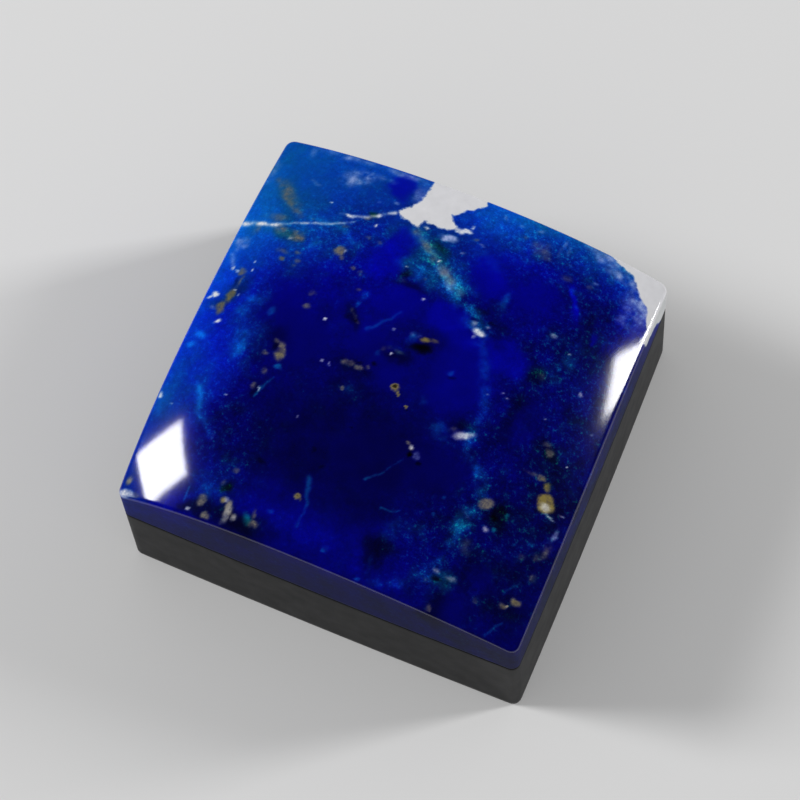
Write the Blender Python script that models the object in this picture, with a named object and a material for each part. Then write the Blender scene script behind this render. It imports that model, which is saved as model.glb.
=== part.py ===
"""A polished lapis lazuli tile on the black block that it is bonded to.

The origin is the middle of the block's underside, +Z is up, and the front of the tile faces -Y. Block and tile are
ground flush, about square in plan. Their walls lean in a little towards the top and bow out a little at the middle.
The tile's top is polished to a low dome whose highest point lies left of the middle.
"""
import math

import bmesh
import bpy

MM = 0.001

# Plan of the two where they meet
WIDTH = 18.0 * MM
DEPTH = 17.8 * MM
WALL_LEAN = 0.048
WALL_BELLY = 0.076 * MM
CORNER_RADIUS = 0.37 * MM

# The block, and the room for the cement between it and the tile
BLOCK_HEIGHT = 5.1 * MM
BLOCK_FOOT_CHAMFER = 0.15 * MM
CEMENT_GAP = 0.3 * MM

# The tile's dome. A bow is what it falls from its highest point to a wall, and a shoulder is a steeper fall near one
TILE_THICKNESS = 4.62 * MM
HIGHEST_X = -1.77 * MM
HIGHEST_Y = 0.28 * MM
BOW_ACROSS = 1.43 * MM
BOW_ALONG = 0.88 * MM
SHOULDER_ACROSS = 0.34 * MM
SHOULDER_ALONG = 0.22 * MM
CORNER_LIFT = 0.32 * MM
# What hand polishing took off each corner, as (side in x, side in y, how much). Less than zero was left on
CORNER_POLISH = (
    (-1, -1, 0.66 * MM),
    (1, -1, -0.43 * MM),
    (1, 1, 0.13 * MM),
    (-1, 1, -0.14 * MM),
)
CORNER_POLISH_POWER = 6

# Cells of the grids that the two are made from, each way
DOME_CELLS = 34
BLOCK_CELLS = 26

LAPIS_BLUE = (0.01, 0.03, 0.42, 1.0)
BLOCK_BLACK = (0.012, 0.012, 0.014, 1.0)


def dome_height(x, y):
    """The height of the tile's polished top over its underside, at a place in plan.

    It is the thickness, less a parabola and a fourth-power shoulder each way, plus a cross term that keeps the
    corners up, less each corner's own polishing.
    """
    across, along = 2 * x / WIDTH, 2 * y / DEPTH
    from_highest_x = 2 * (x - HIGHEST_X) / WIDTH
    from_highest_y = 2 * (y - HIGHEST_Y) / DEPTH
    height = TILE_THICKNESS
    height -= BOW_ACROSS * from_highest_x**2 + BOW_ALONG * from_highest_y**2
    height -= SHOULDER_ACROSS * across**4 + SHOULDER_ALONG * along**4
    height += CORNER_LIFT * (from_highest_x * from_highest_y) ** 2
    for side_x, side_y, polished_off in CORNER_POLISH:
        nearness = (1 + side_x * across) * (1 + side_y * along) / 4
        height -= polished_off * nearness**CORNER_POLISH_POWER
    return height


def round_corner(x, y):
    """Draws a place near a corner of the plan in, square ring by square ring, so that the corner is a quarter round."""
    past_x = abs(x) - (WIDTH / 2 - CORNER_RADIUS)
    past_y = abs(y) - (DEPTH / 2 - CORNER_RADIUS)
    if past_x <= 0 or past_y <= 0:
        return x, y
    pull = 1 - max(past_x, past_y) / math.hypot(past_x, past_y)
    return x - math.copysign(past_x * pull, x), y - math.copysign(past_y * pull, y)


def lay_out_in_plan(bm):
    """Lays a grid that reaches from -1 to 1 over the plan, with its lines closer together near the walls."""
    for v in bm.verts:
        across = v.co.x * (3 - v.co.x**2) / 2
        along = v.co.y * (3 - v.co.y**2) / 2
        x, y = round_corner(across * WIDTH / 2, along * DEPTH / 2)
        v.co.x = x + WALL_BELLY * across * (1 - along**2)
        v.co.y = y + WALL_BELLY * along * (1 - across**2)
        v.co.z = 0.0


def lean(v, height):
    """Draws a point of the plan in by the walls' lean, for its height over the plane where tile and block meet."""
    v.co.x *= 1 - WALL_LEAN * height / (WIDTH / 2)
    v.co.y *= 1 - WALL_LEAN * height / (DEPTH / 2)
    v.co.z = BLOCK_HEIGHT + height


def plain_material(name, colour, roughness):
    material = bpy.data.materials.new(name)
    material.use_nodes = True
    shader = material.node_tree.nodes["Principled BSDF"]
    shader.inputs["Base Color"].default_value = colour
    shader.inputs["Roughness"].default_value = roughness
    shader.inputs["Metallic"].default_value = 0.0
    return material


def finished_object(name, bm, collection, material):
    """Puts a bmesh into a named object with its material, smooth between its sharp edges."""
    bmesh.ops.recalc_face_normals(bm, faces=bm.faces)
    mesh = bpy.data.meshes.new(name)
    bm.to_mesh(mesh)
    bm.free()
    mesh.materials.append(material)
    mesh.shade_smooth()
    mesh.set_sharp_from_angle(angle=math.radians(30))
    piece = bpy.data.objects.new(name, mesh)
    collection.objects.link(piece)
    return piece


def extruded(bm, faces):
    """Extrudes faces where they are, and returns the new faces and the set of their vertices."""
    made = bmesh.ops.extrude_face_region(bm, geom=faces)["geom"]
    return [g for g in made if isinstance(g, bmesh.types.BMFace)], {g for g in made if isinstance(g, bmesh.types.BMVert)}


def make_block(collection):
    """The plan as one face, extruded down to a wider foot and then in to the chamfer's lower edge."""
    bm = bmesh.new()
    bmesh.ops.create_grid(bm, x_segments=BLOCK_CELLS, y_segments=BLOCK_CELLS, size=1.0)
    lay_out_in_plan(bm)
    bmesh.ops.dissolve_faces(bm, faces=bm.faces[:])
    foot_faces, foot = extruded(bm, bm.faces[:])
    _, chamfered = extruded(bm, foot_faces)
    bmesh.ops.delete(bm, geom=foot_faces, context="FACES_ONLY")
    for v in bm.verts:
        if v in chamfered:
            lean(v, -BLOCK_HEIGHT)
            v.co.x *= 1 - BLOCK_FOOT_CHAMFER / (WIDTH / 2)
            v.co.y *= 1 - BLOCK_FOOT_CHAMFER / (DEPTH / 2)
        else:
            lean(v, BLOCK_FOOT_CHAMFER - BLOCK_HEIGHT if v in foot else 0.0)
    return finished_object("base_block", bm, collection, plain_material("block_black", BLOCK_BLACK, 0.4))


def make_tile(collection):
    """The plan as a grid raised to the dome, with its border carried down as walls to a flat underside."""
    bm = bmesh.new()
    bmesh.ops.create_grid(bm, x_segments=DOME_CELLS, y_segments=DOME_CELLS, size=1.0)
    lay_out_in_plan(bm)
    walls = bmesh.ops.extrude_edge_only(bm, edges=[e for e in bm.edges if e.is_boundary])
    low = {g for g in walls["geom"] if isinstance(g, bmesh.types.BMVert)}
    for v in bm.verts:
        lean(v, CEMENT_GAP + (0.0 if v in low else dome_height(v.co.x, v.co.y)))
    bmesh.ops.contextual_create(bm, geom=[e for e in bm.edges if e.is_boundary])
    return finished_object("lapis_tile", bm, collection, plain_material("lapis_polished", LAPIS_BLUE, 0.08))


def main():
    for old in list(bpy.data.objects):
        bpy.data.objects.remove(old, do_unlink=True)
    collection = bpy.data.collections.new("lapis_tile_on_block")
    bpy.context.scene.collection.children.link(collection)
    make_block(collection)
    make_tile(collection)


main()
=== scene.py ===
"""A polished lapis lazuli tile on the black block that it is bonded to.

The stone and the block are fine surfaces worked out in the frame of the two plain solids that they replace.
The stone's markings are fields over its surface, listed as a lapidary would map them, and the
material's own noise breaks them up into grains. Places and sizes are in millimetres until a mesh is made.
"""

import bpy
import numpy as np
from mathutils import Matrix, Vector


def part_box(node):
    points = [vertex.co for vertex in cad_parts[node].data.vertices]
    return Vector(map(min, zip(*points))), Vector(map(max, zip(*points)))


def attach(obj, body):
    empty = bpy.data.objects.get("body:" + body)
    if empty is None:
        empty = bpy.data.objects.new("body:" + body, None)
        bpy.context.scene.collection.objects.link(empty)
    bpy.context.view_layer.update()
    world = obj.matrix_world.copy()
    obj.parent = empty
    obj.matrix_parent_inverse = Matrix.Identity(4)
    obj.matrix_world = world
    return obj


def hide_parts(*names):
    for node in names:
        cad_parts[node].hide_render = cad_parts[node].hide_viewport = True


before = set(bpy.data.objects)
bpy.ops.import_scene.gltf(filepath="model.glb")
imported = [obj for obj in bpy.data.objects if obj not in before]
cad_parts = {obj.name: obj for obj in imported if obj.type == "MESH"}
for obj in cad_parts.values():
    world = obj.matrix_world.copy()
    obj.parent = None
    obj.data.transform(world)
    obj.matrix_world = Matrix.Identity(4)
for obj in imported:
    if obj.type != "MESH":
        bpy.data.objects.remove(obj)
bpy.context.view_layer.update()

# The stone. A slab of lapis lazuli sawn about square, with walls ground to lean in a little towards the top
# and a top polished by hand to a low dome. It stands on the block on a film of black cement. Its shape comes
# first, then its markings, and then its finish.
MM = 0.001
WIDTH = 18.0
DEPTH = 17.8
WALL_LEAN = 0.048
WALL_BELLY = 0.076
CORNER_RADIUS = 0.37
HIGHEST_X = -1.77
HIGHEST_Y = 0.28
BOW_ACROSS = 1.43
BOW_ALONG = 0.88
SHOULDER_ACROSS = 0.34
SHOULDER_ALONG = 0.22
CORNER_LIFT = 0.32
# What the polishing took off each corner, as (side in x, side in y, how much). Less than zero was left on
CORNER_POLISH = ((-1, -1, 0.66), (1, -1, -0.43), (1, 1, 0.13), (-1, 1, -0.14))
CORNER_POLISH_POWER = 6
RIM = 0.12
CEMENT_FILM = 0.02
FOOT_ROUND = 0.06
TOP_CELLS = 248
RIM_ROWS = 4
WALL_ROWS = 26

MEETING_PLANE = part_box("base_block")[1].z / MM
TILE_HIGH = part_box("lapis_tile")[1].z / MM - MEETING_PLANE


def dome_height(x, y):
    """Height of the polished top over the meeting plane: the highest point less a parabola and a fourth-power
    shoulder each way, plus a cross term that keeps the corners up, less each corner's own polishing."""
    across, along = 2 * x / WIDTH, 2 * y / DEPTH
    from_highest_x, from_highest_y = 2 * (x - HIGHEST_X) / WIDTH, 2 * (y - HIGHEST_Y) / DEPTH
    height = TILE_HIGH - BOW_ACROSS * from_highest_x**2 - BOW_ALONG * from_highest_y**2
    height = height - SHOULDER_ACROSS * across**4 - SHOULDER_ALONG * along**4
    height = height + CORNER_LIFT * (from_highest_x * from_highest_y) ** 2
    for side_x, side_y, off in CORNER_POLISH:
        height = height - off * ((1 + side_x * across) * (1 + side_y * along) / 4) ** CORNER_POLISH_POWER
    return height


def plan(s, t, inset=0.0):
    """Places (s, t) from -1 to 1 laid over the plan, drawn in by an inset, with each corner a quarter round:
    there, each square ring about the corner's middle is drawn in to a circle."""
    x, y = s * (WIDTH / 2 - inset), t * (DEPTH / 2 - inset)
    past_x = np.abs(x) - (WIDTH / 2 - CORNER_RADIUS)
    past_y = np.abs(y) - (DEPTH / 2 - CORNER_RADIUS)
    corner = (past_x > 0) & (past_y > 0)
    straight = np.maximum(past_x, past_y)
    pull = np.where(corner, 1 - straight / np.maximum(np.hypot(past_x, past_y), 1e-9), 0.0)
    return x - np.sign(x) * past_x * pull, y - np.sign(y) * past_y * pull


def belly(x, y):
    """Places in plan moved out by the walls' bow times one less the square of the way to a wall's end."""
    across, along = 2 * x / WIDTH, 2 * y / DEPTH
    return x + WALL_BELLY * across * (1 - along**2), y + WALL_BELLY * along * (1 - across**2)


def lean(x, y, height):
    """Points in space: places in plan times one less the walls' lean times the height over a half size."""
    drawn_x = x * (1 - WALL_LEAN * height / (WIDTH / 2))
    drawn_y = y * (1 - WALL_LEAN * height / (DEPTH / 2))
    return np.stack([drawn_x, drawn_y, MEETING_PLANE + height], -1)


def grid_faces(number):
    """The four corners of each cell of a grid of vertex numbers, in the order that faces them outwards."""
    return np.stack([number[:-1, :-1], number[:-1, 1:], number[1:, 1:], number[1:, :-1]], -1).reshape(-1, 4)


def border(grid):
    """A square grid's outermost values, once round: front, right, back, left."""
    return np.concatenate([grid[0, :-1], grid[:-1, -1], grid[-1, :0:-1], grid[:0:-1, 0]])


# The top, as a grid whose outermost row stops short of the wall by the rounded rim
steps = np.linspace(-1, 1, TOP_CELLS + 1)
top_s, top_t = np.meshgrid(steps, steps)
top_x, top_y = plan(top_s, top_t, RIM)
bowed_x, bowed_y = belly(top_x, top_y)
top_points = lean(bowed_x, bowed_y, dome_height(bowed_x, bowed_y))

# The rim, as a quadratic Bezier from the dome, past the corner that dome and wall would make, to the wall
ring_s, ring_t = border(top_s), border(top_t)
inner_points = border(top_points)
outer_x, outer_y = plan(ring_s, ring_t)
wall_x, wall_y = belly(outer_x, outer_y)
wall_top = dome_height(wall_x, wall_y)
corner_points = lean(wall_x, wall_y, wall_top)
below_points = lean(wall_x, wall_y, wall_top - RIM)
f = (np.arange(1, RIM_ROWS + 1) / RIM_ROWS)[:, None, None]
rim_points = (1 - f) ** 2 * inner_points + 2 * f * (1 - f) * corner_points + f**2 * below_points
rim_depth = np.repeat(RIM * f[:, :, 0] ** 2, ring_s.size, 1)

# The wall, straight down to a foot that is rounded under to the cement
down = (np.arange(1, WALL_ROWS + 1) / WALL_ROWS)[:, None]
foot_height = CEMENT_FILM + FOOT_ROUND
wall_height = (wall_top - RIM) * (1 - down) + foot_height * down
wall_points = lean(np.tile(wall_x, (WALL_ROWS, 1)), np.tile(wall_y, (WALL_ROWS, 1)), wall_height)
turn = np.radians([[45.0], [90.0]])
draw_in = 1 - FOOT_ROUND * (1 - np.cos(turn)) / (WIDTH / 2)
under_foot = foot_height - FOOT_ROUND * np.sin(turn) * np.ones_like(wall_x)
foot_points = lean(wall_x * draw_in, wall_y * draw_in, under_foot)

ring_points = np.concatenate([rim_points, wall_points, foot_points])
ring_depth = np.concatenate([rim_depth, wall_top - wall_height, wall_top - under_foot])
around = ring_s.size
top_number = np.arange(top_s.size).reshape(top_s.shape)
ring_number = top_s.size + np.arange(ring_points.shape[0] * around).reshape(-1, around)
ring_number = np.concatenate([border(top_number)[None], ring_number])
closed = np.concatenate([ring_number, ring_number[:, :1]], 1)
middle = top_s.size + ring_points.shape[0] * around
under = np.stack([closed[-1, 1:], closed[-1, :-1], np.full(around, middle)], -1)

underside_middle = [[0, 0, MEETING_PLANE + CEMENT_FILM]]
tile_points = np.concatenate([top_points.reshape(-1, 3), ring_points.reshape(-1, 3), underside_middle])
top_faces = grid_faces(top_number)
wall_faces = grid_faces(closed)[:, ::-1]
# Where each vertex lies in plan before the walls bow and lean, and how far down the wall it is
plan_x = np.concatenate([top_x.ravel(), np.tile(outer_x, ring_points.shape[0]), [0]])
plan_y = np.concatenate([top_y.ravel(), np.tile(outer_y, ring_points.shape[0]), [0]])
depth = np.concatenate([np.zeros(top_s.size), ring_depth.ravel(), [TILE_HIGH]])


def laid_out():
    """A flat lay-out of every face's corners in a square of 1: the top as a square, each wall as a strip
    beside it, two to a side, and the underside as a circle in the square that is left."""
    share, edge, circle = 0.69, 0.003, 0.98
    top = np.stack([top_s, top_t], -1).reshape(-1, 2)[top_faces] * (share - 2 * edge) / 2 + share / 2
    rows = closed.shape[0]
    row, place = np.divmod(np.arange((rows - 1) * around), around)
    wall = place // TOP_CELLS
    start = place % TOP_CELLS
    along = np.stack([start, start + 1, start + 1, start], -1)
    out = np.stack([row, row, row + 1, row + 1], -1)
    along, out = along[:, ::-1] / TOP_CELLS, out[:, ::-1] / (rows - 1)
    strip = (1 - share) / 2
    far = share + strip * (wall[:, None] // 2) + edge + (strip - 2 * edge) * out
    long = edge + (share - 2 * edge) * along
    upright = (wall % 2 == 0)[:, None]
    walls = np.stack([np.where(upright, far, long), np.where(upright, long, far)], -1)
    turn = np.arange(around) * 2 * np.pi / around
    rim = np.stack([np.cos(turn), np.sin(turn)], -1)
    beyond = np.stack([np.roll(rim, -1, 0), rim, np.zeros_like(rim)], 1) * strip * circle + (1 + share) / 2
    return np.concatenate([top.reshape(-1, 2), walls.reshape(-1, 2), beyond.reshape(-1, 2)])


def new_piece(name, points, quads, triangles, layout=None):
    """An object at the origin with a smooth mesh, made from whole arrays of points in millimetres."""
    mesh = bpy.data.meshes.new(name)
    corners = np.concatenate([quads.ravel(), triangles.ravel()]).astype(np.int32)
    sizes = np.concatenate([np.full(len(quads), 4), np.full(len(triangles), 3)])
    mesh.vertices.add(len(points))
    mesh.vertices.foreach_set("co", (points * MM).astype(np.float32).ravel())
    mesh.loops.add(len(corners))
    mesh.loops.foreach_set("vertex_index", corners)
    mesh.polygons.add(len(sizes))
    mesh.polygons.foreach_set("loop_start", np.concatenate([[0], np.cumsum(sizes)[:-1]]).astype(np.int32))
    mesh.update(calc_edges=True)
    if layout is not None:
        mesh.uv_layers.new(name="OFBake").data.foreach_set("uv", layout.astype(np.float32).ravel())
    mesh.shade_smooth()
    mesh.validate()
    piece = bpy.data.objects.new(name, mesh)
    bpy.context.scene.collection.objects.link(piece)
    return piece


tile = new_piece("lapis_stone", tile_points, np.concatenate([top_faces, wall_faces]), under, laid_out())

# Its markings. Lazurite colours it, in clouds from navy to azure with rounded cells of clean royal blue.
# Calcite makes the white patch, the hair vein and the pale haze, and pyrite the gold and brown grains. Each
# is placed in plan, x to the right and y to the back, and a point on a wall also has its depth below the rim.
LATTICE_PRIMES = (73856093, 19349663, 83492791)
LATTICE_HEIGHTS = 1 << 16


def hills(x, y, z, size, seed):
    """Random heights from 0 to 1 on a cubic lattice, eased between its points as ease() does."""
    heights = np.random.RandomState(seed).rand(LATTICE_HEIGHTS)
    cell = [np.floor(v / size).astype(np.int64) for v in (x, y, z)]
    part = [v / size - c for v, c in zip((x, y, z), cell)]
    part = [p * p * (3 - 2 * p) for p in part]
    total = 0.0
    for corner in range(8):
        bits = [corner >> k & 1 for k in range(3)]
        key_x, key_y, key_z = ((c + bit) * prime for c, bit, prime in zip(cell, bits, LATTICE_PRIMES))
        weight = 1.0
        for p, bit in zip(part, bits):
            weight = weight * (p if bit else 1 - p)
        total = total + weight * heights[(key_x ^ key_y ^ key_z) % LATTICE_HEIGHTS]
    return total


def rough(size, seed, octaves=4):
    """Hills on hills over the stone, each half the size and height of the last, about -1 to 1. A call draws
    from one seed after another, one for each octave."""
    to_one = 1.6
    total = 0.0
    for k in range(octaves):
        total = total + (hills(plan_x, plan_y, depth, size / 2**k, seed + k) - 0.5) / 2**k
    return total * to_one


def ease(low, high, value):
    """Nothing below low, one above high, and between them three times the square of the way less twice its
    cube."""
    f = np.clip((value - low) / (high - low), 0, 1)
    return f * f * (3 - 2 * f)


def astray(places, seed, broad, fine):
    """Places along one way moved by broad hills and by fine ones, each given as (how far, how large)."""
    return places + broad[0] * rough(broad[1], seed) + fine[0] * rough(fine[1], seed + 4, 3)


# The grown edges wander a little, and the clouds drift further
WANDER = ((0.10, 0.7), (0.045, 0.2))
DRIFT = ((0.40, 1.6), (0.10, 0.35))
wander_x, wander_y = astray(plan_x, 3, *WANDER), astray(plan_y, 11, *WANDER)
drift_x, drift_y = astray(plan_x, 19, *DRIFT), astray(plan_y, 27, *DRIFT)


def patches(size, seed, octaves, level, swing, most):
    """A level that rough hills swing up and down, kept between nothing and a most."""
    return np.clip(level + swing * rough(size, seed, octaves), 0, most)


def reach(x, y, x0, y0, long, wide, turn=0):
    """Distance from a tilted ellipse's middle in its own radii: the root of the sum of squares of the ways
    along it, across it and down, each over its half size. It is as deep as it is wide."""
    c, s = np.cos(np.radians(turn)), np.sin(np.radians(turn))
    dx, dy = x - x0, y - y0
    return np.sqrt(((dx * c + dy * s) / long) ** 2 + ((dy * c - dx * s) / wide) ** 2 + (depth / wide) ** 2)


def spots(marks):
    """The strongest of some tilted ellipses: its strength inside, eased to nothing over its soft edge."""
    total = np.zeros(plan_x.size)
    for x, y, long, wide, strength, soft, *turn in marks:
        inside = (1 - reach(wander_x, wander_y, x, y, long, wide, *turn)) * min(long, wide)
        total = np.maximum(total, strength * ease(-soft, soft, inside))
    return total


def clouds(marks, base):
    """A base level plus each cloud's amount times e to the minus its reach, raised to its edge, so that a
    high edge is a crisp one."""
    farthest = 4.0
    total = np.full(plan_x.size, base)
    for x, y, long, wide, edge, amount, *turn in marks:
        away = np.minimum(reach(drift_x, drift_y, x, y, long, wide, *turn), farthest)
        total = total + amount * np.exp(-away ** edge)
    return total


def line(route, x=wander_x, y=wander_y):
    """How near each point is to a bent line: e to the minus the square of the distance in half widths, times
    the line's strength there."""
    farthest = 5.0
    best = np.full(plan_x.size, np.inf)
    level = np.zeros(plan_x.size)
    for (x0, y0, wide0, strong0), (x1, y1, wide1, strong1) in zip(route, route[1:]):
        dx, dy = x1 - x0, y1 - y0
        f = np.clip(((x - x0) * dx + (y - y0) * dy) / (dx * dx + dy * dy), 0, 1)
        away = np.sqrt((x - x0 - f * dx) ** 2 + (y - y0 - f * dy) ** 2 + depth**2)
        away = away / (wide0 + f * (wide1 - wide0))
        nearer = away < best
        best = np.where(nearer, away, best)
        level = np.where(nearer, strong0 + f * (strong1 - strong0), level)
    return level * np.exp(-np.minimum(best, farthest) ** 2)


def lines(routes, x=wander_x, y=wander_y):
    """The strongest of several bent lines."""
    total = np.zeros(plan_x.size)
    for route in routes:
        total = np.maximum(total, line(route, x, y))
    return total


def inside_outline(outline):
    """Millimetres inside a closed outline, less than zero outside: the distance to its nearest side, with the
    sign that counting the sides crossed by a line to the right gives."""
    x, y = wander_x, wander_y
    nearest = np.full(x.size, np.inf)
    crossings = np.zeros(x.size, int)
    for (x0, y0), (x1, y1) in zip(outline, outline[1:] + outline[:1]):
        dx, dy = x1 - x0, y1 - y0
        f = np.clip(((x - x0) * dx + (y - y0) * dy) / (dx * dx + dy * dy), 0, 1)
        nearest = np.minimum(nearest, np.hypot(x - x0 - f * dx, y - y0 - f * dy))
        spans = (y0 > y) != (y1 > y)
        rise = dy if dy else 1.0
        crossings += spans & (x < x0 + (y - y0) * dx / rise)
    return np.where(crossings % 2 == 1, nearest, -nearest)


# Clouds of tone: x, y, half length, half width, edge, amount, and the turn in degrees where there is one.
# First how blue, then how azure, as shares of the screen's full blue and green
BLUE_CLOUDS = (
    # the paler band along the left wall, and along the back, partly paler stone and partly painted light
    # where the back and left are lit more
    (-10.4, -2, 3, 8, 2.4, 0.4), (-9.6, 4, 2.4, 6, 2, 0.14), (-1, 10.4, 13, 2.9, 2, 0.4),
    (1, 7.4, 2.2, 1.8, 2, 0.2), (8.6, 7.6, 2, 2.4, 2, 0.16), (-8.6, -0.9, 1.6, 3.4, 3, 0.06),
    # the upper left quarter, and what lies between it and the middle
    (-5.8, 5.4, 3.6, 2.6, 3, 0.16), (-4, 3, 4.6, 2.2, 3, 0.09), (-6.9, -2.2, 0.9, 4.4, 3, 0.13),
    # the deep middle of the front
    (-0.6, -4.2, 4.8, 3, 4, -0.09), (7.3, -5.6, 3.2, 3.4, 3, -0.07), (7.6, -1.6, 1.2, 1.6, 3, -0.05),
    # the front edge
    (-2.1, -7.7, 2.6, 1, 2, 0.12, -8), (1.2, -8.3, 2.4, 1.4, 3, 0.06), (-6.4, -8.6, 1.6, 2, 2, 0.12),
    (4.2, -7.3, 0.8, 1.3, 2, 0.07, 30),
    # right of the band, behind
    (4, 6, 1.6, 2.2, 3, 0.06), (6.9, 5.3, 0.9, 1.3, 3, -0.09),
)
AZURE_CLOUDS = (
    # The first five are the same paler band along the left wall and the back, partly paler stone and partly
    # painted light
    (-10, 1, 2.4, 9, 2, 0.3), (-7.6, 6, 3.4, 3.4, 2.5, 0.14), (-2, 10.2, 8, 2.7, 2, 0.3),
    (4.6, 9.9, 5, 2, 2, 0.24), (8.9, 8.9, 2, 2.4, 2, 0.1), (-7.6, -4, 1.3, 1.6, 3, 0.08),
    (-4.6, 5.6, 3.4, 2.2, 3, 0.08), (-6.7, 3.6, 2.4, 1.6, 3, 0.06), (6.8, 3, 2, 3, 3, 0.04),
    (-0.6, 5.2, 2.2, 1.4, 2, 0.14, -30), (1.4, 7.3, 2, 1.2, 2, 0.1), (-6.4, -0.8, 0.9, 2, 3, 0.08),
    (-5, -7.2, 1.6, 1.4, 2, 0.07), (7, -6, 2.4, 2.4, 3, 0.02), (-8.6, -7, 1.4, 3, 3, 0.06),
)
# Rounded cells of clean royal blue, in the same terms, with how much bluer
CELLS = (
    (4.25, 2.25, 0.9, 0.82, 6, 0.17, 20), (1.2, 2.85, 0.78, 0.85, 6, 0.15), (-1.9, 5.3, 0.8, 1, 5, 0.1, 15),
    (-2.4, 4.3, 0.75, 0.8, 4, 0.1, 30), (2.8, 0.6, 1.15, 1.85, 6, 0.09, -20),
    (2.2, 2.05, 0.7, 0.65, 3, 0.14), (2.15, 5.35, 1, 0.75, 4, 0.11, 10), (-1, 2.8, 1.1, 0.85, 5, 0.05),
    (4.2, 5.35, 0.9, 0.7, 4, 0.05, 20), (5.6, 5.95, 0.24, 0.62, 5, 0.22, 30),
    (5.9, -0.2, 0.8, 0.95, 6, 0.03), (-0.1, -0.5, 0.65, 0.75, 4, 0.06), (-5.3, 1, 0.8, 0.9, 4, 0.03),
    (6.8, 5, 0.18, 0.38, 4, 0.16, 10), (-2.9, 7.75, 0.62, 0.7, 5, 0.03), (0.9, -4.2, 1.5, 1.3, 6, 0),
    (-4.2, -0.2, 1, 1.2, 5, 0.02), (3.2, -3.4, 1.2, 1, 6, 0.02), (6.4, -6.6, 0.7, 0.6, 5, 0.04),
    (6, -8.3, 0.9, 0.6, 4, 0.03), (-1.4, 0.6, 0.9, 0.8, 4, 0.04),
)
# Navy blotches, in the same terms, with how much less blue
BLOTCHES = (
    (2.45, -7.6, 0.72, 0.66, 5, -0.18), (0.8, 1.05, 0.52, 0.28, 4, -0.24, 5), (5.1, -8.4, 0.8, 1, 3, -0.12),
    (6.1, -4.1, 0.45, 0.55, 4, -0.14), (8, -7.3, 0.7, 0.6, 3, -0.1), (7.7, -1.4, 0.8, 0.6, 3, -0.07),
    (5.15, 0.1, 0.3, 1.2, 3, -0.09, 10), (-4.4, -7.45, 0.3, 0.32, 4, -0.26),
    (-3.3, -8.6, 1.3, 0.45, 3, -0.22), (-5.3, -8.7, 0.8, 0.35, 3, -0.24), (-4.8, -0.7, 0.45, 0.5, 3, -0.1),
    (-2.3, 1.35, 0.22, 0.6, 3, -0.2, 25), (-1.6, -0.9, 0.9, 0.3, 3, -0.1, -10),
    (-0.2, 0.4, 0.65, 0.3, 3, -0.16, 10), (-7.8, 0.7, 0.45, 0.85, 3, -0.22, -12),
    (-7.4, 5.8, 0.6, 1.1, 3, -0.1, 30), (1, -2.4, 1.6, 0.5, 3, -0.03, -10),
    (-3.8, 5.95, 0.16, 0.12, 3, -0.3), (-4.2, 3.9, 0.5, 0.3, 3, -0.12, -30),
    (-6.9, 4.15, 0.8, 0.3, 3, -0.18, -10), (2.4, 3.9, 0.3, 0.22, 3, -0.1), (3.2, 3.1, 0.45, 0.4, 3, -0.1),
    (3.4, -1.3, 0.5, 0.18, 3, -0.12, 20), (8.3, -2.4, 0.5, 0.8, 3, -0.08), (-1.3, 4, 0.35, 0.16, 3, -0.2),
    (-1, 3.55, 0.8, 0.16, 3, -0.14, -10), (5.5, 1.95, 0.45, 0.4, 3, -0.1),
    (-0.5, 5.45, 0.3, 0.7, 3, -0.22, 50), (7.1, -0.6, 0.25, 0.45, 3, -0.1, 30),
    (-5, -2.9, 0.2, 0.3, 3, -0.1),
)
# The broad grainy band of pale blue that bends across the stone: x, y, half width, strength
BAND = (
    (-1.6, 6.1, 0.24, 0.5), (-0.8, 5.6, 0.34, 0.5), (0.1, 4.85, 0.4, 0.7), (0.8, 4.3, 0.46, 0.95),
    (1.8, 3.7, 0.42, 0.7), (2.5, 3, 0.45, 0.75), (3.05, 2.15, 0.32, 0.35), (3.5, 1.2, 0.3, 0.36),
    (4, 0.3, 0.3, 0.4), (4.25, -0.7, 0.32, 0.45), (4.1, -1.5, 0.42, 0.6), (4.5, -2.4, 0.36, 0.5),
    (5.1, -3.3, 0.34, 0.42), (5.45, -4.1, 0.28, 0.36), (5.15, -4.9, 0.34, 0.55), (4.95, -5.8, 0.26, 0.42),
    (4.9, -6.6, 0.24, 0.26), (4.75, -7.3, 0.38, 0.4), (4.1, -8, 0.28, 0.3), (3.2, -8.6, 0.2, 0.24),
    (2.6, -8.8, 0.16, 0.15),
)
# Fine azure and teal threads, as x, y, half width, strength, and specks, as x, y, half length, half width,
# strength, soft edge, turn. All the lines and spots below are in the same terms
AZURE_LINES = (
    ((0.85, -4.95, 0.07, 0.45), (1, -4.85, 0.05, 0.35), (1.7, -4.1, 0.04, 0.25), (2, -3.6, 0.04, 0.2)),
    ((1.85, -5.85, 0.05, 0.35), (2.3, -5.8, 0.05, 0.3), (2.6, -5.6, 0.05, 0.2)),
    ((-1.25, -5.8, 0.12, 0.4), (-1.15, -6.5, 0.1, 0.35), (-1, -6.8, 0.08, 0.3), (-1.1, -7.8, 0.07, 0.2)),
    ((-4.45, -2.4, 0.04, 0.2), (-4.85, -3.35, 0.06, 0.45)),
    ((-1.7, 0.9, 0.1, 0.3), (-1.3, 1.3, 0.08, 0.3), (-0.6, 2.3, 0.08, 0.2)),
    ((8, -6.4, 0.05, 0.3), (7.6, -7, 0.05, 0.2)),
    ((8, -8, 0.05, 0.3), (7.6, -8.8, 0.05, 0.2)),
    ((-7.3, -3.8, 0.16, 0.45), (-6.9, -4.7, 0.16, 0.3), (-6, -5.6, 0.14, 0.2)),
    ((-5.9, -7.7, 0.04, 0.35), (-5.95, -8.3, 0.05, 0.4)),
    ((-6.2, 5.2, 0.14, 0.2), (-4.5, 5, 0.14, 0.18), (-3.6, 4.4, 0.12, 0.1)),
)
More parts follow.
